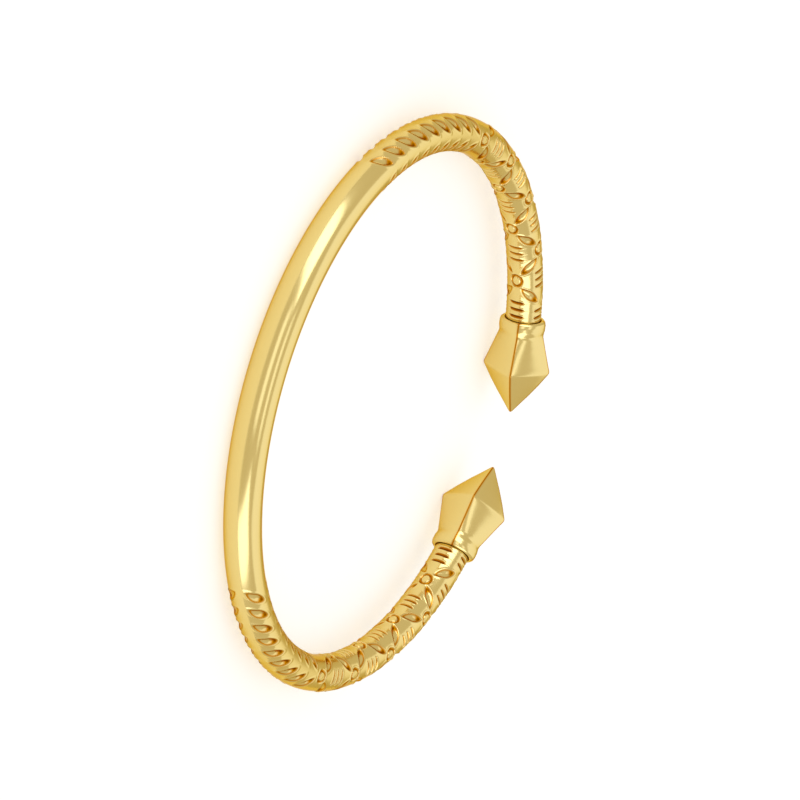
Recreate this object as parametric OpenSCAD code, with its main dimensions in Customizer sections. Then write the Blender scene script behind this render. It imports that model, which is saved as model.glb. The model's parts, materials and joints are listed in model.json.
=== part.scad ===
// Open cuff bracelet: a round bar bent to a ring, with a square spearhead capped over each end.
// Its closed back is plain. Both arms are engraved with slanted cuts, then with small rings,
// leaves and groups of three strokes. It lies on its side, with its gap at +Y and the origin
// on the floor under its middle. Lengths along the bar run on its centreline from the back.

/* [Ring] */
// Radius of the bar's centreline
ring_r = 30; // [27:0.5:33]
// Diameter of the round bar
bar_d = 4; // [3.6:0.1:4.4]
// Angle from the middle of the back to each collar
arm_angle = 152.6; // [150:0.2:154]

/* [Spearheads] */
// Length from the collar's mouth to the tip
head_len = 11.3; // [10.8:0.1:12]
// Distance from the collar's mouth to the widest edge
girdle_at = 5.9; // [5.5:0.1:6.3]
// Half of the size from corner to corner at the widest edge
girdle_half = 3.85; // [3.5:0.05:4.1]
// Half of the collar's size from corner to corner
collar_half = 2.64; // [2.6:0.02:2.8]
// Length of the collar
collar_len = 1.5; // [1.3:0.1:1.6]
// Turn of each spearhead inwards from the end of its arm
head_turn = 6; // [4:0.5:8]
// Turn of the square about the spearhead's own axis, from outwards to a corner
head_roll = 73; // [65:1:80]

/* [Joint under the collar] */
// Diameter of the tenon on each end of the bar
tenon_d = 3; // [2.6:0.1:3.2]
// Length of the tenon past the end of the bar
tenon_len = 1.8; // [1.4:0.1:2]
// Clearance between the bar and the spearhead
fit_gap = 0.05; // [0.03:0.01:0.08]

/* [Slanted cuts] */
// Number of cuts in each row
row_cuts = 9; // [6:1:9]
// Where the first cut lies along the bar
row_from = 25.3; // [25:0.1:27]
// Distance from one cut to the next
row_pitch = 2.32; // [2.2:0.02:2.35]
// Twist of the rows at the first cut, one way on each arm
row_twist = 11; // [0:1:12]

/* [Lattice ornament] */
// Where the first small ring lies along the bar
lattice_from = 46.4; // [46:0.1:46.6]
// Length of one repeat of the lattice
lattice_len = 7.93; // [7.85:0.01:7.95]
// Number of repeats
lattice_repeats = 4; // [2:1:4]
// Outer diameter of a small ring
small_ring_d = 1.7; // [1.5:0.05:1.8]
// Width of the groove that draws a small ring
small_ring_groove = 0.32; // [0.25:0.01:0.4]
// Distance between the three strokes of a group
stroke_pitch = 0.92; // [0.85:0.01:0.95]
// Width of a stroke
stroke_w = 0.3; // [0.2:0.01:0.35]
// Depth of a stroke
stroke_deep = 0.21; // [0.12:0.01:0.25]
// Width of a slanted cut or leaf
leaf_w = 0.85; // [0.6:0.05:0.9]
// Depth of a slanted cut or leaf
leaf_deep = 0.24; // [0.15:0.01:0.26]

/* [Hidden] */
GOLD = "gold";
bar_r = bar_d / 2;
RING_FN = 180;
BAR_FN = 48;
HOLE_FN = 48;

// The bar's end stops a little inside the collar, where the seam's slot is
seat_deep = 0.4;
seat_r = bar_r + fit_gap + seat_deep * tan(head_turn) + bar_r * (1 / cos(head_turn) - 1);
end_spare = 2.2;
cut_box = 12;

// A slanted cut lies half way between along the bar and round it, and is deeper at one end
slant = 45;
leaf_dip = 5;
leaf_run = 4;
stroke_run = 2.6;
cut_rise = 0.3;
small_ring_deep = 0.3;
last_strokes = [78.3, 79.2];

// Spearhead sections: [distance from the mouth, half of corner to corner, roundness]
// Roundness 2 is a circle, 1 a true square
HEAD_POINTS = 32;
flare_len = girdle_at - collar_len;
point_len = head_len - girdle_at;
function flare(part, half, round) = [collar_len + flare_len * part, half, round];
function point(part, half, round) = [girdle_at + point_len * part, girdle_half * half, round];
HEAD_ROWS = [
    [0, collar_half - 0.26, 1.9],
    [0.2, collar_half - 0.06, 1.85],
    [0.5, collar_half, 1.8],
    [collar_len - 0.3, collar_half, 1.72],
    flare(0, collar_half - 0.08, 1.62),
    flare(0.09, collar_half - 0.06, 1.52),
    flare(0.22, collar_half + 0.12, 1.38),
    flare(0.5, collar_half + 0.49, 1.25),
    flare(0.8, girdle_half - 0.29, 1.18),
    flare(0.97, girdle_half - 0.05, 1.16),
    point(0, 1, 1.15),
    point(0.03, 0.983, 1.15),
    point(0.25, 0.79, 1.15),
    point(0.5, 0.54, 1.15),
    point(0.75, 0.28, 1.16),
    point(0.92, 0.1, 1.3),
    point(0.98, 0.04, 1.7),
];
function section_r(a, half, round) =
    half / pow(pow(abs(cos(a)), round) + pow(abs(sin(a)), round), 1 / round);
head_shell = [
    for (row = HEAD_ROWS, i = [0 : HEAD_POINTS - 1])
        let (a = i * 360 / HEAD_POINTS, r = section_r(a, row[1], row[2]))
            [row[0], -r * cos(a), r * sin(a)]
];
head_poles = [[0, 0, 0], [head_len, 0, 0]];
last_row = len(HEAD_ROWS) - 1;
function shell_id(row, i) = row * HEAD_POINTS + i % HEAD_POINTS;
mouth_id = len(head_shell);
tip_id = mouth_id + 1;
head_faces = [
    for (i = [0 : HEAD_POINTS - 1]) [mouth_id, shell_id(0, i), shell_id(0, i + 1)],
    for (row = [0 : last_row - 1], i = [0 : HEAD_POINTS - 1], half = [0, 1])
        half == 0
            ? [shell_id(row, i), shell_id(row + 1, i), shell_id(row + 1, i + 1)]
            : [shell_id(row, i), shell_id(row + 1, i + 1), shell_id(row, i + 1)],
    for (i = [0 : HEAD_POINTS - 1]) [tip_id, shell_id(last_row, i + 1), shell_id(last_row, i)],
];

// Places of the right spearhead's shell in the plane of the ring, for the resting tilt
head_dir = arm_angle + head_turn;
function turned(p, a) = [p[0], p[1] * cos(a) - p[2] * sin(a), p[1] * sin(a) + p[2] * cos(a)];
function headed(p) = [
    ring_r * sin(arm_angle) + p[0] * cos(head_dir) - p[1] * sin(head_dir),
    -ring_r * cos(arm_angle) + p[0] * sin(head_dir) + p[1] * cos(head_dir),
    p[2],
];
head_places = [for (p = head_shell) headed(turned(p, -head_roll))];

// The cuff rests on the bar's back and on the lowest corner of each spearhead
function touch_tilt(p) =
    asin(-bar_r / norm([p[1] + ring_r, p[2]])) - atan2(p[2], p[1] + ring_r);
rest_tilt = max([for (p = head_places) touch_tilt(p)]);
rest_lift = ring_r * sin(rest_tilt) + bar_r;
front_y = max([for (p = head_places) p[1] * cos(rest_tilt) - p[2] * sin(rest_tilt)]);
back_y = -(ring_r * cos(rest_tilt) + bar_r);

// From the plane of the ring to how the cuff rests
module at_rest() {
    translate([0, -(front_y + back_y) / 2, rest_lift]) rotate([rest_tilt, 0, 0]) children();
}

// The right arm, or its mirror image on the left
module on_arm(side) {
    mirror([side < 0 ? 1 : 0, 0, 0]) children();
}

// At the mouth of the right collar, with +X along the spearhead
module on_head() {
    rotate([0, 0, arm_angle]) translate([0, -ring_r, 0]) rotate([0, 0, head_turn]) children();
}

// On the bar's surface: +X along the bar, +Y round it, +Z away from it
module on_bar(along, around) {
    rotate([0, 0, along / ring_r * 180 / PI]) translate([0, -ring_r, 0])
        rotate([90 - around, 0, 0]) translate([0, 0, bar_r]) children();
}

// A vee cut that runs along Y
module vee(w, deep, run) {
    top_w = w * (deep + cut_rise) / deep;
    rotate([90, 0, 0]) translate([0, 0, -run / 2]) linear_extrude(run)
        polygon([[0, -deep], [top_w / 2, cut_rise], [-top_w / 2, cut_rise]]);
}

// A leaf-shaped cut on the slant, whose deep end lies nearer the end of the arm
module leaf(lean) {
    rotate([0, 0, lean * slant]) rotate([lean * leaf_dip, 0, 0]) vee(leaf_w, leaf_deep, leaf_run);
}

// A group of three strokes that run round the bar
module strokes(along, around) {
    for (i = [-1 : 1]) on_bar(along + i * stroke_pitch, around) vee(stroke_w, stroke_deep, stroke_run);
}

// A ring-shaped groove round a raised dot
module small_ring() {
    translate([0, 0, -small_ring_deep]) difference() {
        cylinder(d = small_ring_d, h = small_ring_deep + cut_rise, $fn = HOLE_FN);
        translate([0, 0, -cut_rise])
            cylinder(d = small_ring_d - 2 * small_ring_groove, h = 2, $fn = HOLE_FN);
    }
}

// Four rows of slanted cuts, which lean to and fro from row to row
module cut_rows(side) {
    for (row = [0 : 3], i = [0 : row_cuts - 1]) {
        part = i / (row_cuts - 1);
        lean = row % 2 == 0 ? -1 : 1;
        on_bar(row_from + i * row_pitch, 45 + 90 * row + 4 * part + side * row_twist * (1 - part))
            leaf(lean);
    }
}

// Small rings and strokes by turns, in four lines along the bar
module lattice_lines() {
    for (line = [0 : 3], i = [0 : lattice_repeats - 1]) {
        shift = line % 2 == 0 ? 0.5 : 0;
        on_bar(lattice_from + (i + shift) * lattice_len, 90 * line) small_ring();
        strokes(lattice_from + (i + shift + 0.5) * lattice_len, 90 * line);
    }
    for (line = [1, 3], along = last_strokes)
        on_bar(along, 90 * line) vee(stroke_w, stroke_deep, stroke_run);
}

// Leaves between the lines, each from one small ring towards the next
module lattice_leaves() {
    for (line = [0 : 3], i = [0 : 2 * lattice_repeats - 1]) {
        lean = (line + i) % 2 == 0 ? 1 : -1;
        on_bar(lattice_from + (i / 2 + 0.25) * lattice_len, 45 + 90 * line) leaf(lean);
    }
}

// The plain round bar, from collar to collar, with its tenons
module plain_bar() {
    whole = 2 * (arm_angle + end_spare);
    difference() {
        rotate_extrude(angle = whole, start = -90 - whole / 2, $fn = RING_FN)
            translate([ring_r, 0]) circle(r = bar_r, $fn = BAR_FN);
        for (side = [-1, 1]) on_arm(side) on_head()
            translate([seat_deep - fit_gap, -cut_box / 2, -cut_box / 2]) cube(cut_box);
    }
    for (side = [-1, 1]) on_arm(side) on_head()
        translate([-bar_r, 0, 0]) rotate([0, 90, 0])
            cylinder(d = tenon_d, h = bar_r + tenon_len, $fn = HOLE_FN);
}

module bar() {
    color(GOLD) at_rest() difference() {
        plain_bar();
        for (side = [-1, 1]) on_arm(side) {
            cut_rows(side);
            lattice_lines();
            lattice_leaves();
        }
    }
}

// A square spearhead with its collar, bored for the bar's end and tenon
module spearhead() {
    on_head() difference() {
        rotate([-head_roll, 0, 0]) polyhedron(concat(head_shell, head_poles), head_faces);
        translate([-1, 0, 0]) rotate([0, 90, 0])
            cylinder(r = seat_r, h = 1 + seat_deep, $fn = HOLE_FN);
        rotate([0, 90, 0])
            cylinder(d = tenon_d + 2 * fit_gap, h = tenon_len + 2 * fit_gap, $fn = HOLE_FN);
    }
}

module left_spearhead() {
    color(GOLD) at_rest() on_arm(-1) spearhead();
}

module right_spearhead() {
    color(GOLD) at_rest() on_arm(1) spearhead();
}

bar();
left_spearhead();
right_spearhead();
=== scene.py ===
# An open cuff bracelet of gold-plated brass, lying on its side: a round bar with engraved arms
# and a square spearhead capped over each end. Lengths are metres, in the frame of the CAD model.
import json
import math

import bpy
import numpy as np
from bpy.props import FloatProperty, FloatVectorProperty, PointerProperty, StringProperty
from bpy.types import Operator, Panel, PropertyGroup
from mathutils import Matrix, Vector


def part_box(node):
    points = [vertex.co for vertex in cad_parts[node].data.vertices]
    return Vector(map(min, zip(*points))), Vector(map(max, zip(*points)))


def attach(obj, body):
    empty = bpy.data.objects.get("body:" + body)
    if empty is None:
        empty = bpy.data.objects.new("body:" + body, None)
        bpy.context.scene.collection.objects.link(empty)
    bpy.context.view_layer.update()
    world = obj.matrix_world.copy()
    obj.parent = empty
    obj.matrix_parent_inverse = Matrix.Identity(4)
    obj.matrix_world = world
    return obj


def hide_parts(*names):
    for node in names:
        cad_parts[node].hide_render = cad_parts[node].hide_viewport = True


bl_info = {
    "name": "Engraved Spearhead Cuff",
    "version": (1, 0, 0),
    "blender": (4, 5, 0),
    "location": "View3D > Sidebar > Cuff",
    "description": "Models an engraved gold-plated cuff bracelet and its studio",
    "category": "Object",
}

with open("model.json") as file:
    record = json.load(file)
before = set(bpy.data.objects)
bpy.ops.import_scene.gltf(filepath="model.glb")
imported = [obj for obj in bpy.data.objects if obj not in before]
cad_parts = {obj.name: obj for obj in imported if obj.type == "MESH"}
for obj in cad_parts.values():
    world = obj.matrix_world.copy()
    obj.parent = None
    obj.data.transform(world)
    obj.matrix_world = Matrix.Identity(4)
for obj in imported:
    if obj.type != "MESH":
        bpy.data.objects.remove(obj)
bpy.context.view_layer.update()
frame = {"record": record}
MM = 0.001

# The wrist mount gives the middle of the ring and the tilt at which the cuff rests
WRIST = next(mount for mount in frame["record"]["mounts"] if mount["name"] == "wrist")
RING_CENTRE = Vector(WRIST["pos_m"])
RESTING_TURN = Vector((0, 0, 1)).rotation_difference(Vector(WRIST["axis"]))
RESTING = Matrix.Translation(RING_CENTRE) @ RESTING_TURN.to_matrix().to_4x4()
OUTER_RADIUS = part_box("bar")[1].x

# Bar mesh: steps between its rings of points, by the detail that each stretch holds
POINTS_AROUND = 144
SCAN_STEP = 0.01 * MM
PLAIN_WIDENING = 0.25
PLAIN_STEP = 0.8 * MM
ROW_STEP = 0.13 * MM
LATTICE_STEP = 0.095 * MM
STROKE_STEP = 0.06 * MM
STROKE_MARGIN = 0.26 * MM
LATTICE_MARGIN = 1.2 * MM
SPIN_STEP = math.radians(3)
BAR_SMOOTH_ANGLE = math.radians(75)
ARM_FROM = 23.6 * MM
SEAT_DEPTH = 0.35 * MM
TENON_LENGTH = 1.8 * MM
TENON_RADIUS = 1.5 * MM

# Rows of slanted cuts: four round the bar on each arm, leaning to and fro
ROW_CUTS = 9
ROW_FROM = 25.3 * MM
ROW_PITCH = 2.32 * MM
ROW_TWIST = math.radians(11)
ROW_DRIFT = math.radians(4)
SLANT = math.radians(45)

# Lattice: small rings and strokes by turns along four lines, and leaves between the lines
LATTICE_FROM = 46.4 * MM
LATTICE_LENGTH = 7.93 * MM
LATTICE_REPEATS = 4
STROKE_PITCH = 0.92 * MM
LAST_STROKES = (78.3 * MM, 79.2 * MM)
SMALL_RING_RADIUS = 0.68 * MM
SMALL_RING_HALF_GROOVE = 0.18 * MM
SMALL_RING_STRETCH = (1.08, 0.94)
DOT_RADIUS = 0.5 * MM
DOT_HEIGHT = 0.05 * MM

# How far round the middle of a mark its points are looked for
LEAF_REACH = 2 * MM
STROKE_REACH = 1.4 * MM
SMALL_RING_REACH = 1.5 * MM

# Relief of the marks: powers of their outlines and hollows, and the low rims round them.
# Of a leaf's pairs, in halves of the leaf, rim and edge are a bell curve's middle and width,
# and deep end and shade are a ramp's start and width
LEAF_OUTLINE_POWER = 1.55
LEAF_HOLLOW_POWERS = (2.2, 0.9)
LEAF_RIM = (1.16, 0.14)
LEAF_EDGE = (0.86, 0.13)
LEAF_DEEP_END = (0.05, 0.55)
LEAF_SHADE = (0.3, 0.45)
LEAF_LEAST_DEPTH = 0.6
STROKE_TAPER_POWER = 4
STROKE_LEAST_TAPER = 0.02
GROOVE_POWER = 1.8
GROOVE_RIM = 0.07 * MM
RIM_HEIGHT = 0.045 * MM

# Painted shade in the marks and along the spearheads' corners, where 0 is plain gold and 1 the red
# brown of the deepest cut
LEAF_EDGE_PAINTED_SHADE = 0.6
SMALL_RING_PAINTED_SHADE = 0.75
HEAD_EDGE_PAINTED_SHADE = 0.75

# Spearheads: mesh, sizes, and the socket that holds the end of the bar
HEAD_POINTS = 96
HEAD_CROWDING = 0.17
HEAD_SMOOTH_ANGLE = math.radians(60)
ROUND = 2.0
HEAD_STEPS = 3
HEAD_LENGTH = 11.3 * MM
# Width of the painted shade line along each corner of a spearhead
EDGE_LINE = 0.09 * MM
HEAD_TURN = math.radians(6)
HEAD_ROLL = math.radians(73)
SEAT_RADIUS = 2.12 * MM
SOCKET_DEPTHS = (0.45, 0.04)
# Sections: millimetres from the mouth, millimetres from the axis to a corner, and roundness,
# where 2 is a circle and 1 a true square
HEAD_ROWS = (
    (0.0, 2.30, 1.9), (0.06, 2.42, 1.88), (0.2, 2.56, 1.85), (0.5, 2.64, 1.8),
    (1.1, 2.64, 1.74), (1.4, 2.585, 1.68), (1.6, 2.555, 1.6), (1.9, 2.58, 1.52),
    (2.5, 2.77, 1.38), (3.7, 3.14, 1.25), (5.0, 3.55, 1.18), (5.55, 3.735, 1.16),
    (5.74, 3.79, 1.15), (5.89, 3.805, 1.15), (6.04, 3.76, 1.15), (6.24, 3.65, 1.15),
    (7.6, 2.8, 1.15), (9.0, 1.83, 1.15), (10.3, 0.86, 1.17), (10.9, 0.42, 1.3),
    (11.15, 0.24, 1.5), (11.27, 0.1, 1.8),
)

# Gold plating: the polish is rougher in the cuts, and its edge-on reflections are dark amber
POLISH_ROUGHNESS = 0.19
CUT_ROUGHNESS = 0.4
EDGE_TINT = (0.78, 0.56, 0.22, 1)
# The share of painted shade at which a cut is fully amber, on its way to red brown
AMBER_SHADE_AT = 0.5
WAVE_SCALE = 330
WAVE_STRENGTH = 0.04
WAVE_HEIGHT = 0.1 * MM

# Camera: the photograph's angle to the ring, in the ring's own plane
CAMERA_ELEVATION = math.radians(25.5)
CAMERA_AZIMUTH = math.radians(0.3)
CAMERA_ROLL = math.radians(106.8)
CAMERA_DISTANCE = 480 * MM
CAMERA_AIM = Vector((-0.09, 0.36, 0)) * MM
FOCAL_PIXELS = 4472
PICTURE_PIXELS = 800
PICTURE_MIDDLE = (392, 404)
SENSOR_MM = 36


class CuffSizes(PropertyGroup):
    """Sizes of the cuff that a user would change"""

    bar_radius: FloatProperty(
        name="Bar radius", description="Radius of the round bar",
        default=2 * MM, min=1.8 * MM, max=2.2 * MM, unit="LENGTH", precision=5,
    )
    collar_angle: FloatProperty(
        name="Collar angle", description="Angle from the middle of the back to each collar",
        default=math.radians(152.6), min=math.radians(150), max=math.radians(154), subtype="ANGLE",
    )
    leaf_length: FloatProperty(
        name="Leaf length", description="Length of a slanted cut or leaf",
        default=2.8 * MM, min=2 * MM, max=3 * MM, unit="LENGTH", precision=5,
    )
    leaf_width: FloatProperty(
        name="Leaf width", description="Width of a slanted cut or leaf",
        default=1.06 * MM, min=0.7 * MM, max=1.2 * MM, unit="LENGTH", precision=5,
    )
    leaf_depth: FloatProperty(
        name="Leaf depth", description="Depth of a slanted cut or leaf at its deep end",
        default=0.3 * MM, min=0.1 * MM, max=0.4 * MM, unit="LENGTH", precision=5,
    )
    stroke_length: FloatProperty(
        name="Stroke length", description="Length of a stroke round the bar",
        default=1.85 * MM, min=1 * MM, max=2.2 * MM, unit="LENGTH", precision=5,
    )
    stroke_width: FloatProperty(
        name="Stroke width", description="Width of a stroke",
        default=0.44 * MM, min=0.3 * MM, max=0.5 * MM, unit="LENGTH", precision=5,
    )
    stroke_depth: FloatProperty(
        name="Stroke depth", description="Depth of a stroke",
        default=0.23 * MM, min=0.1 * MM, max=0.3 * MM, unit="LENGTH", precision=5,
    )
    ring_depth: FloatProperty(
        name="Small ring depth", description="Depth of the groove that draws a small ring",
        default=0.17 * MM, min=0.08 * MM, max=0.25 * MM, unit="LENGTH", precision=5,
    )


class CuffFinish(PropertyGroup):
    """Colours of the cuff and of its studio, as sRGB hex"""

    gold: StringProperty(
        name="Gold", description="Polished plating seen square on", default="#E5CB7E",
    )
    # Painted shade part way down the cuts
    amber_shade: StringProperty(
        name="Amber", description="Plating part way down the cuts", default="#CC8400",
    )
    # Painted shade in the bottom of the cuts
    deep_shade: StringProperty(
        name="Deep gold", description="Plating in the bottom of the cuts", default="#702A00",
    )
    floor: StringProperty(
        name="Floor", description="Pale matt floor", default="#E9EAEC",
    )
    light: FloatVectorProperty(
        name="Light", description="Cool colour of the softboxes", subtype="COLOR",
        default=(0.55, 0.65, 1.0), min=0, max=1,
    )


def linear(hex_colour):
    """The linear colour of an sRGB hex value, with full opacity."""
    parts = [int(hex_colour[i:i + 2], 16) / 255 for i in (1, 3, 5)]
    return [c / 12.92 if c <= 0.04045 else ((c + 0.055) / 1.055) ** 2.4 for c in parts] + [1.0]


def add_node(tree, kind, settings=None, inputs=None, links=None):
    """Adds a node, sets its own settings and its inputs' values, and links its inputs."""
    node = tree.nodes.new(kind)
    for name, value in (settings or {}).items():
        setattr(node, name, value)
    for name, value in (inputs or {}).items():
        node.inputs[name].default_value = value
    for name, source in (links or {}).items():
        tree.links.new(source, node.inputs[name])
    return node


def new_material(name):
    """An empty material and the shader's output in its tree."""
    made = bpy.data.materials.new(name)
    made.use_nodes = True
    made.node_tree.nodes.clear()
    return made, add_node(made.node_tree, "ShaderNodeOutputMaterial")


def polished_gold_plate():
    """Gold plated on polished brass: a warm, slightly blurred mirror with faint buffing waves. Its
    cuts are painted with shade, going from gold over yellow-brown to red brown where they are
    deepest."""
    finish = bpy.context.scene.cuff_finish
    made, output = new_material("polished_gold_plate")
    tree = made.node_tree
    place = add_node(tree, "ShaderNodeTexCoord").outputs["Object"]
    # How much painted shade each point takes, from 0 to 1
    painted_shade = add_node(tree, "ShaderNodeAttribute", {"attribute_name": "painted_shade"}).outputs["Fac"]
    # Buffing leaves waves about 3 mm long, too faint to see but in the edges of reflections
    waves = add_node(
        tree, "ShaderNodeTexNoise", inputs={"Scale": WAVE_SCALE, "Detail": 1.0},
        links={"Vector": place},
    ).outputs["Fac"]
    rough = add_node(
        tree, "ShaderNodeMix", {"data_type": "FLOAT"},
        {"A": POLISH_ROUGHNESS, "B": CUT_ROUGHNESS}, {"Factor": painted_shade},
    ).outputs["Result"]
    # Painted shade: the cuts go from gold over amber to a red brown where they are deepest
    colour = linear(finish.gold)
    for first, last, deeper in ((0, AMBER_SHADE_AT, finish.amber_shade), (AMBER_SHADE_AT, 1, finish.deep_shade)):
        part = add_node(
            tree, "ShaderNodeMapRange", inputs={"From Min": first, "From Max": last},
            links={"Value": painted_shade},
        ).outputs["Result"]
        mix = add_node(
            tree, "ShaderNodeMix", {"data_type": "RGBA"}, {"B": linear(deeper)}, {"Factor": part},
        )
        if first == 0:
            mix.inputs["A"].default_value = colour
        else:
            tree.links.new(colour, mix.inputs["A"])
        colour = mix.outputs["Result"]
    bump = add_node(
        tree, "ShaderNodeBump", inputs={"Strength": WAVE_STRENGTH, "Distance": WAVE_HEIGHT},
        links={"Height": waves},
    ).outputs["Normal"]
    shader = add_node(
        tree, "ShaderNodeBsdfPrincipled",
        inputs={"Metallic": 1.0, "Specular Tint": EDGE_TINT},
        links={"Base Color": colour, "Roughness": rough, "Normal": bump},
    )
    tree.links.new(shader.outputs["BSDF"], output.inputs["Surface"])
    return made


def matt_paper(name, colour, glow):
    """Studio paper, matt and even, with some light shining through it from below."""
    made, output = new_material(name)
    tree = made.node_tree
    shader = add_node(
        tree, "ShaderNodeBsdfPrincipled",
        inputs={
            "Base Color": linear(colour), "Roughness": 0.9, "Specular IOR Level": 0.1,
            "Emission Color": (1, 1, 1, 1), "Emission Strength": glow,
        },
    )
    tree.links.new(shader.outputs["BSDF"], output.inputs["Surface"])
    # The glow is only there to be seen: sampled as a lamp, it would make grain
    made.cycles.emission_sampling = "NONE"
    return made


def deselect_all():
    """Leaves object mode with nothing selected."""
    if bpy.context.object and bpy.context.object.mode != "OBJECT":
        bpy.ops.object.mode_set(mode="OBJECT")
    bpy.ops.object.select_all(action="DESELECT")


def read_points(mesh):
    """The mesh's points as an array of rows."""
    points = np.empty(len(mesh.vertices) * 3)
    mesh.vertices.foreach_get("co", points)
    return points.reshape(-1, 3)


def write_points(mesh, points):
    """Moves the mesh's points to the rows of an array."""
    mesh.vertices.foreach_set("co", np.asarray(points, dtype=float).ravel())
    mesh.update()


def finish_piece(piece, name, nodes):
    """Names a piece, lays it at rest, gives it its finish, hides the CAD node that it replaces and
    ties it to its body.
    """
    piece.name = name
    piece.data.name = name
    piece.data.transform(RESTING)
    piece.data.materials.clear()
    piece.data.materials.append(bpy.data.materials["polished_gold_plate"])
    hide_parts(*nodes)
    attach(piece, "root")


def stroke_places():
    """Where the middle of each stroke lies along an arm, for the four lines: (along, line)."""
    places = []
    for line in range(4):
        shift = 1.0 if line % 2 == 0 else 0.5
        for repeat in range(LATTICE_REPEATS):
            middle = LATTICE_FROM + (repeat + shift) * LATTICE_LENGTH
            places += [(middle + i * STROKE_PITCH, line) for i in (-1, 0, 1)]
    places += [(along, line) for line in (1, 3) for along in LAST_STROKES]
    return places


def small_ring_places():
    """Where each small ring lies along an arm: (along, line)."""
    return [
        (LATTICE_FROM + (repeat + (0.5 if line % 2 == 0 else 0)) * LATTICE_LENGTH, line)
        for line in range(4) for repeat in range(LATTICE_REPEATS)
    ]


def leaf_places(side):
    """Each slanted cut and leaf of an arm: (along, around, lean)."""
    places = []
    for row in range(4):
        lean = -1 if row % 2 == 0 else 1
        for i in range(ROW_CUTS):
            part = i / (ROW_CUTS - 1)
            turn = ROW_DRIFT * part + side * ROW_TWIST * (1 - part)
            places.append((ROW_FROM + i * ROW_PITCH, math.radians(45 + 90 * row) + turn, lean))
    for row in range(4):
        for i in range(2 * LATTICE_REPEATS):
            lean = 1 if (row + i) % 2 == 0 else -1
            along = LATTICE_FROM + (i / 2 + 0.25) * LATTICE_LENGTH
            places.append((along, math.radians(45 + 90 * row), lean))
    return places


def spread_rings(first, last, spins):
    """Where rings of points lie along the bar: close together where the ornament is fine. There
    are as many steps in each of the spun pieces."""
    fine = np.arange(first, last, SCAN_STEP)
    far = np.abs(fine)
    step = np.clip(PLAIN_WIDENING * np.abs(far - ARM_FROM), ROW_STEP, PLAIN_STEP)
    step[far > ARM_FROM] = ROW_STEP
    step[far > LATTICE_FROM - LATTICE_MARGIN] = LATTICE_STEP
    for along, _ in stroke_places():
        step[np.abs(far - along) < STROKE_MARGIN] = STROKE_STEP
    steps = np.concatenate([[0], np.cumsum(SCAN_STEP / step)])
    count = spins * math.ceil(steps[-1] / spins)
    return np.interp(np.linspace(0, steps[-1], count + 1), steps, np.append(fine, last))


def ramp(value, start, width):
    """Rises evenly from 0 at the start to 1 at the end of a width."""
    return np.clip((value - start) / width, 0, 1)


def groove(off, half_width, depth):
    """A groove's height with its low rims, and how deep its painted shade is, at a distance from
    its line.
    """
    reach = np.abs(off) / half_width
    hollow = np.clip(1 - reach ** GROOVE_POWER, 0, None)
    rim = np.exp(-((np.abs(off) - half_width - GROOVE_RIM) / GROOVE_RIM) ** 2)
    return -depth * hollow + RIM_HEIGHT * rim * (reach > 1), hollow


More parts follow.
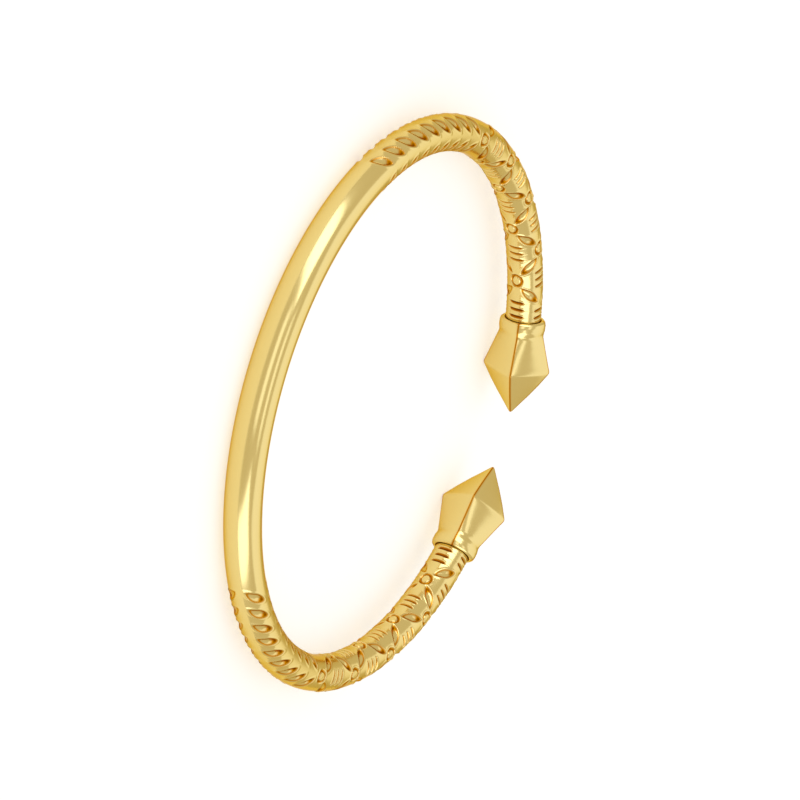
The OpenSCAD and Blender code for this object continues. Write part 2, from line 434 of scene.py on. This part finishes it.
def engrave(along, around, side, sizes):
    """Height of an arm's surface over plain round, and how much painted shade each point takes."""
    height = np.zeros(len(along))
    painted_shade = np.zeros(len(along))

    def near(centre_along, centre_around, reach):
        """The points near a mark, with their offsets from it along and round the bar."""
        across = ((around - centre_around + math.pi) % (2 * math.pi) - math.pi) * sizes.bar_radius
        ahead = along - centre_along
        chosen = np.nonzero((np.abs(ahead) < reach) & (np.abs(across) < reach))[0]
        return chosen, ahead[chosen], across[chosen]

    def mark(chosen, rise, cut_shade):
        """Adds a mark's height to the points and deepens their painted shade."""
        height[chosen] += rise
        painted_shade[chosen] = np.maximum(painted_shade[chosen], cut_shade)

    for place, turn, lean in leaf_places(side):
        chosen, x, y = near(place, turn, LEAF_REACH)
        run = (lean * x * math.sin(SLANT) - y * math.cos(SLANT)) * lean
        across = (x * math.cos(SLANT) + lean * y * math.sin(SLANT)) / (sizes.leaf_width / 2)
        run = run / (sizes.leaf_length / 2)
        power = LEAF_OUTLINE_POWER
        reach = (np.abs(run) ** power + np.abs(across) ** power) ** (1 / power)
        hollow = np.clip(1 - reach ** LEAF_HOLLOW_POWERS[0], 0, None) ** LEAF_HOLLOW_POWERS[1]
        deepening = LEAF_LEAST_DEPTH + (1 - LEAF_LEAST_DEPTH) * ramp(run, *LEAF_DEEP_END)
        # Painted shade grows towards each leaf's deep end
        shade = ramp(run, *LEAF_SHADE) * np.clip(2 * hollow, 0, 1)
        rim = np.exp(-((reach - LEAF_RIM[0]) / LEAF_RIM[1]) ** 2) * (reach > 1)
        rise = RIM_HEIGHT * rim - sizes.leaf_depth * hollow * deepening
        # Painted shade also draws a thin line just inside each leaf's outline
        edge = np.exp(-((reach - LEAF_EDGE[0]) / LEAF_EDGE[1]) ** 2)
        mark(chosen, rise, np.maximum(LEAF_EDGE_PAINTED_SHADE * edge, shade))
    for place, line in stroke_places():
        chosen, x, y = near(place, math.pi / 2 * line, STROKE_REACH)
        end_share = np.abs(y) / (sizes.stroke_length / 2)
        taper = np.clip(1 - end_share ** STROKE_TAPER_POWER, STROKE_LEAST_TAPER, None)
        # Painted shade fills each stroke, darkest along its middle
        rise, cut_shade = groove(x, sizes.stroke_width / 2 * np.sqrt(taper), sizes.stroke_depth)
        inside = np.clip(taper * 3, 0, 1)
        mark(chosen, rise * inside, (0.6 * cut_shade + 0.4 * cut_shade ** 2) * inside)
    for place, line in small_ring_places():
        chosen, x, y = near(place, math.pi / 2 * line, SMALL_RING_REACH)
        reach = np.hypot(x / SMALL_RING_STRETCH[0], y / SMALL_RING_STRETCH[1])
        # Painted shade fills each small ring's groove
        rise, cut_shade = groove(reach - SMALL_RING_RADIUS, SMALL_RING_HALF_GROOVE, sizes.ring_depth)
        dot = DOT_HEIGHT * np.clip(1 - (reach / DOT_RADIUS) ** 2, 0, None)
        mark(chosen, rise + dot, SMALL_RING_PAINTED_SHADE * cut_shade)
    return height, painted_shade


class CUFF_OT_gold(Operator):
    """Makes the gold plating's material"""

    bl_idname = "cuff.gold"
    bl_label = "Gold plating"

    def execute(self, context):
        polished_gold_plate()
        return {"FINISHED"}


class CUFF_OT_bar(Operator):
    """Spins a round bar into an open ring, in three lengths, and engraves both arms"""

    bl_idname = "cuff.bar"
    bl_label = "Engraved bar"

    def execute(self, context):
        sizes = context.scene.cuff_sizes
        ring_radius = OUTER_RADIUS - sizes.bar_radius
        end = sizes.collar_angle * ring_radius + SEAT_DEPTH
        # In one length the bar would hold more than 200,000 triangles
        lengths = (
            ("plain_back", -ARM_FROM, ARM_FROM, 0),
            ("left_engraved_arm", -end, -ARM_FROM, -1),
            ("right_engraved_arm", ARM_FROM, end, 1),
        )
        for name, first, last, side in lengths:
            spins = math.ceil((last - first) / ring_radius / SPIN_STEP)
            rings = spread_rings(first, last, spins)
            piece = self.spin(rings, spins, ring_radius, sizes)
            self.shape(piece.data, rings, ring_radius, side, sizes)
            for along in (first, last):
                self.close_end(piece, along, ring_radius, abs(along) > ARM_FROM)
            bpy.ops.object.shade_smooth_by_angle(angle=BAR_SMOOTH_ANGLE)
            finish_piece(piece, name, ["bar"])
        return {"FINISHED"}

    def spin(self, rings, spins, ring_radius, sizes):
        """A round tube about the ring's axis, with as many rings of points as asked."""
        first, last = rings[0] / ring_radius, rings[-1] / ring_radius
        deselect_all()
        bpy.ops.mesh.primitive_circle_add(
            vertices=POINTS_AROUND, radius=sizes.bar_radius, fill_type="NOTHING",
            location=Matrix.Rotation(first, 3, "Z") @ Vector((0, -ring_radius, 0)),
            rotation=(0, math.pi / 2, first),
        )
        piece = bpy.context.object
        bpy.ops.object.transform_apply()
        bpy.ops.object.mode_set(mode="EDIT")
        bpy.ops.mesh.select_mode(type="EDGE")
        bpy.ops.mesh.select_all(action="SELECT")
        bpy.ops.mesh.spin(steps=spins, angle=last - first, center=(0, 0, 0), axis=(0, 0, -1))
        bpy.ops.object.mode_set(mode="OBJECT")
        self.select_edges(piece.data, lambda angle: np.ptp(angle, axis=1) > SPIN_STEP / 4)
        bpy.ops.object.mode_set(mode="EDIT")
        bpy.ops.mesh.subdivide(number_cuts=(len(rings) - 1) // spins - 1)
        bpy.ops.object.mode_set(mode="OBJECT")
        return piece

    def select_edges(self, mesh, wanted):
        """Selects the edges that a test of their ends' angles round the ring picks, and no more."""
        points = read_points(mesh)
        angle = np.arctan2(points[:, 0], -points[:, 1])
        ends = np.empty(len(mesh.edges) * 2, dtype=int)
        mesh.edges.foreach_get("vertices", ends)
        ends = ends.reshape(-1, 2)
        chosen = wanted(angle[ends])
        held = np.zeros(len(points), dtype=bool)
        held[ends[chosen].ravel()] = True
        mesh.vertices.foreach_set("select", held)
        mesh.edges.foreach_set("select", chosen)
        mesh.polygons.foreach_set("select", np.zeros(len(mesh.polygons), dtype=bool))

    def shape(self, mesh, rings, ring_radius, side, sizes):
        """Moves each point to its place on the engraved surface, and notes how much painted shade
        it takes.

        The marks are too many and too fine for single cuts, so the points' places are computed.
        """
        points = read_points(mesh)
        angle = np.arctan2(points[:, 0], -points[:, 1]) - rings[0] / ring_radius
        share = angle * ring_radius / (rings[-1] - rings[0])
        along = rings[np.clip(np.round(share * (len(rings) - 1)).astype(int), 0, len(rings) - 1)]
        around = np.arctan2(points[:, 2], np.hypot(points[:, 0], points[:, 1]) - ring_radius)
        around = np.round(around / math.tau * POINTS_AROUND) / POINTS_AROUND * math.tau
        height, painted_shade = np.zeros(len(points)), np.zeros(len(points))
        if side:
            height, painted_shade = engrave(along * side, around, side, sizes)
        turn = along / ring_radius
        thick = sizes.bar_radius + height
        from_axis = ring_radius + thick * np.cos(around)
        write_points(mesh, np.stack(
            [from_axis * np.sin(turn), -from_axis * np.cos(turn), thick * np.sin(around)], axis=1,
        ))
        # The painted shade goes to the material as a point attribute
        mesh.attributes.new("painted_shade", "FLOAT", "POINT").data.foreach_set("value", painted_shade)

    def close_end(self, piece, along, ring_radius, in_collar):
        """Closes an end: flat where two lengths meet, and with a tenon inside a spearhead."""
        deselect_all()
        piece.select_set(True)
        bpy.context.view_layer.objects.active = piece
        turn = along / ring_radius
        self.select_edges(piece.data, lambda angle: (np.abs(angle - turn) < 1e-5).all(axis=1))
        bpy.ops.object.mode_set(mode="EDIT")
        bpy.ops.mesh.select_mode(type="EDGE")
        if in_collar:
            side = 1 if along > 0 else -1
            heading = turn + side * HEAD_TURN
            ahead = Vector((math.cos(heading), math.sin(heading), 0)) * side
            bpy.ops.mesh.extrude_edges_move()
            bpy.ops.transform.resize(
                value=(TENON_RADIUS / bpy.context.scene.cuff_sizes.bar_radius,) * 3,
                center_override=Matrix.Rotation(turn, 3, "Z") @ Vector((0, -ring_radius, 0)),
            )
            bpy.ops.mesh.extrude_edges_move(
                TRANSFORM_OT_translate={"value": ahead * (TENON_LENGTH - SEAT_DEPTH)},
            )
        bpy.ops.mesh.edge_face_add()
        bpy.ops.mesh.poke()
        bpy.ops.mesh.select_all(action="SELECT")
        bpy.ops.mesh.normals_make_consistent(inside=False)
        bpy.ops.object.mode_set(mode="OBJECT")


class CUFF_OT_spearheads(Operator):
    """Draws a square spearhead out of a disc, row by row, for each end of the bar"""

    bl_idname = "cuff.spearheads"
    bl_label = "Spearheads"

    def execute(self, context):
        for side, name in ((-1, "left_spearhead"), (1, "right_spearhead")):
            piece = self.draw_out(context)
            self.shape(piece.data, side)
            deselect_all()
            piece.select_set(True)
            context.view_layer.objects.active = piece
            bpy.ops.object.mode_set(mode="EDIT")
            bpy.ops.mesh.select_all(action="SELECT")
            bpy.ops.mesh.normals_make_consistent(inside=False)
            bpy.ops.object.mode_set(mode="OBJECT")
            bpy.ops.object.shade_smooth_by_angle(angle=HEAD_SMOOTH_ANGLE)
            finish_piece(piece, name + "_cast", [name])
        return {"FINISHED"}

    def rows(self):
        """Sections from the bottom of the socket round the mouth and out to the tip."""
        socket = [(depth, SEAT_RADIUS / MM, ROUND) for depth in SOCKET_DEPTHS]
        outer = []
        for low, high in zip(HEAD_ROWS, HEAD_ROWS[1:]):
            for step in range(HEAD_STEPS):
                part = step / HEAD_STEPS
                outer.append(tuple(a + (b - a) * part for a, b in zip(low, high)))
        return socket + outer + [HEAD_ROWS[-1]]

    def draw_out(self, context):
        """A disc extruded once for each section, with a closed point."""
        deselect_all()
        bpy.ops.mesh.primitive_circle_add(vertices=HEAD_POINTS, radius=MM, fill_type="TRIFAN")
        piece = context.object
        bpy.ops.object.mode_set(mode="EDIT")
        bpy.ops.mesh.select_mode(type="VERT")
        bpy.ops.mesh.select_all(action="SELECT")
        for _ in self.rows()[1:]:
            bpy.ops.mesh.extrude_region_move(TRANSFORM_OT_translate={"value": (0, 0, MM)})
        bpy.ops.object.mode_set(mode="OBJECT")
        return piece

    def shape(self, mesh, side):
        """Gives each row of points its section, and turns the spearhead onto its arm."""
        rows = np.array(self.rows())
        points = read_points(mesh)
        row = np.clip(np.round(points[:, 2] / MM).astype(int), 0, len(rows) - 1)
        middle = np.hypot(points[:, 0], points[:, 1]) < 0.1 * MM
        turn = np.arctan2(points[:, 1], points[:, 0])
        # Points crowd towards the four corners, so that each edge is round but crisp
        turn = turn - HEAD_CROWDING * np.sin(4 * turn)
        half, roundness = rows[row, 1] * MM, rows[row, 2]
        radius = half / (np.abs(np.cos(turn)) ** roundness
                         + np.abs(np.sin(turn)) ** roundness) ** (1 / roundness)
        radius[middle] = 0
        ahead = rows[row, 0] * MM
        tip = middle & (row == len(rows) - 1)
        ahead[tip] = HEAD_LENGTH
        shaped = np.stack([ahead, -radius * np.cos(turn), radius * np.sin(turn)], axis=1)
        write_points(mesh, shaped)
        # Painted shade: a thin dark line along each of the four corner edges, past the socket
        off = np.abs((turn + math.pi / 4) % (math.pi / 2) - math.pi / 4) * radius
        line = np.exp(-(off / EDGE_LINE) ** 2) * (row > 1)
        painted_shade = HEAD_EDGE_PAINTED_SHADE * line
        mesh.attributes.new("painted_shade", "FLOAT", "POINT").data.foreach_set("value", painted_shade)
        sizes = bpy.context.scene.cuff_sizes
        ring_radius = OUTER_RADIUS - sizes.bar_radius
        mesh.transform(
            Matrix.Rotation(sizes.collar_angle, 4, "Z")
            @ Matrix.Translation((0, -ring_radius, 0))
            @ Matrix.Rotation(HEAD_TURN, 4, "Z")
            @ Matrix.Rotation(-HEAD_ROLL, 4, "X")
        )
        if side < 0:
            mesh.transform(Matrix.Scale(-1, 4, (1, 0, 0)))


class CUFF_OT_stage(Operator):
    """Lays a pale floor, hangs soft lights and sets the camera at the photograph's angle"""

    bl_idname = "cuff.stage"
    bl_label = "Stage"

    # Softboxes: name, azimuth from -Y towards +X, elevation, width, height, brightness
    SOFTBOXES = (
        ("front_softbox", 0, 36, 0.8, 0.34, 1.2),
        ("top_softbox", 8, 72, 0.6, 0.24, 1.2),
        ("back_softbox", 180, 54, 1.3, 1.2, 0.75),
        ("left_column", -52, 28, 0.6, 1.0, 2.8),
        ("right_column", 70, 28, 0.6, 1.0, 2.2),
    )
    LIGHT_DISTANCE = 1.1
    TABLE_GLOW = 0.48
    ROOM = (0.74, 0.71, 0.66, 1)
    FLOOR_SIZE = 8

    def execute(self, context):
        self.lay_floor()
        for row in self.SOFTBOXES:
            self.hang_softbox(context, *row)
        self.fill_room(context)
        self.set_camera(context)
        return {"FINISHED"}

    def lay_floor(self):
        """A wide sheet of paper that fills the picture."""
        colour = bpy.context.scene.cuff_finish.floor
        deselect_all()
        bpy.ops.mesh.primitive_plane_add(size=self.FLOOR_SIZE, location=(0, 0, 0))
        floor = bpy.context.object
        floor.name = "floor"
        floor.data.materials.append(matt_paper("pale_paper", colour, self.TABLE_GLOW))

    def hang_softbox(self, context, name, azimuth, elevation, width, height, brightness):
        """A soft rectangular light that faces the cuff, and that only the polish shows."""
        turn, lift = math.radians(azimuth), math.radians(elevation)
        away = Vector((math.sin(turn) * math.cos(lift), -math.cos(turn) * math.cos(lift),
                       math.sin(lift)))
        light = bpy.data.lights.new(name, "AREA")
        light.shape = "RECTANGLE"
        light.size, light.size_y = width, height
        light.color = context.scene.cuff_finish.light
        light.energy = brightness * math.pi * width * height
        lamp = bpy.data.objects.new(name, light)
        lamp.location = away * self.LIGHT_DISTANCE
        lamp.rotation_euler = away.to_track_quat("Z", "Y").to_euler()
        lamp.visible_camera = False
        lamp.visible_diffuse = False
        context.collection.objects.link(lamp)

    def fill_room(self, context):
        """An even warm room, which the polish shows between the lights."""
        world = bpy.data.worlds.new("room")
        world.use_nodes = True
        world.node_tree.nodes.clear()
        shade = add_node(world.node_tree, "ShaderNodeBackground", inputs={"Color": self.ROOM})
        add_node(world.node_tree, "ShaderNodeOutputWorld", links={"Surface": shade.outputs[0]})
        context.scene.world = world

    def set_camera(self, context):
        """A long lens, turned with the ring as the photograph shows it."""
        level, lift = CAMERA_AZIMUTH, CAMERA_ELEVATION
        back = Vector((math.sin(level) * math.cos(lift), -math.cos(level) * math.cos(lift),
                       math.sin(lift)))
        right = Vector((math.cos(level), math.sin(level), 0))
        up = back.cross(right)
        axes = Matrix((right, up, back)).transposed() @ Matrix.Rotation(CAMERA_ROLL, 3, "Z")
        place = Matrix.Translation(back * CAMERA_DISTANCE + CAMERA_AIM) @ axes.to_4x4()
        data = bpy.data.cameras.new("camera")
        data.sensor_width = SENSOR_MM
        data.lens = FOCAL_PIXELS / PICTURE_PIXELS * SENSOR_MM
        data.shift_x = 0.5 - PICTURE_MIDDLE[0] / PICTURE_PIXELS
        data.shift_y = PICTURE_MIDDLE[1] / PICTURE_PIXELS - 0.5
        camera = bpy.data.objects.new("camera", data)
        camera.matrix_world = RESTING @ place
        context.collection.objects.link(camera)
        context.scene.camera = camera
        context.scene.view_settings.view_transform = "Standard"


class CUFF_PT_panel(Panel):
    """Lists the cuff's operators, sizes and colours"""

    bl_label = "Engraved cuff"
    bl_space_type = "VIEW_3D"
    bl_region_type = "UI"
    bl_category = "Cuff"

    def draw(self, context):
        for step in STEPS:
            self.layout.operator(step.bl_idname)
        for group in (context.scene.cuff_sizes, context.scene.cuff_finish):
            for name in group.__annotations__:
                self.layout.prop(group, name)


STEPS = (CUFF_OT_stage, CUFF_OT_gold, CUFF_OT_bar, CUFF_OT_spearheads)
CLASSES = (CuffSizes, CuffFinish, *STEPS, CUFF_PT_panel)


def register():
    for each in CLASSES:
        bpy.utils.register_class(each)
    bpy.types.Scene.cuff_sizes = PointerProperty(type=CuffSizes)
    bpy.types.Scene.cuff_finish = PointerProperty(type=CuffFinish)


def unregister():
    del bpy.types.Scene.cuff_finish
    del bpy.types.Scene.cuff_sizes
    for each in reversed(CLASSES):
        bpy.utils.unregister_class(each)


def main():
    """Makes the stage, the material and each piece."""
    register()
    bpy.ops.cuff.stage()
    bpy.ops.cuff.gold()
    bpy.ops.cuff.bar()
    bpy.ops.cuff.spearheads()


if __name__ == "__main__":
    main()
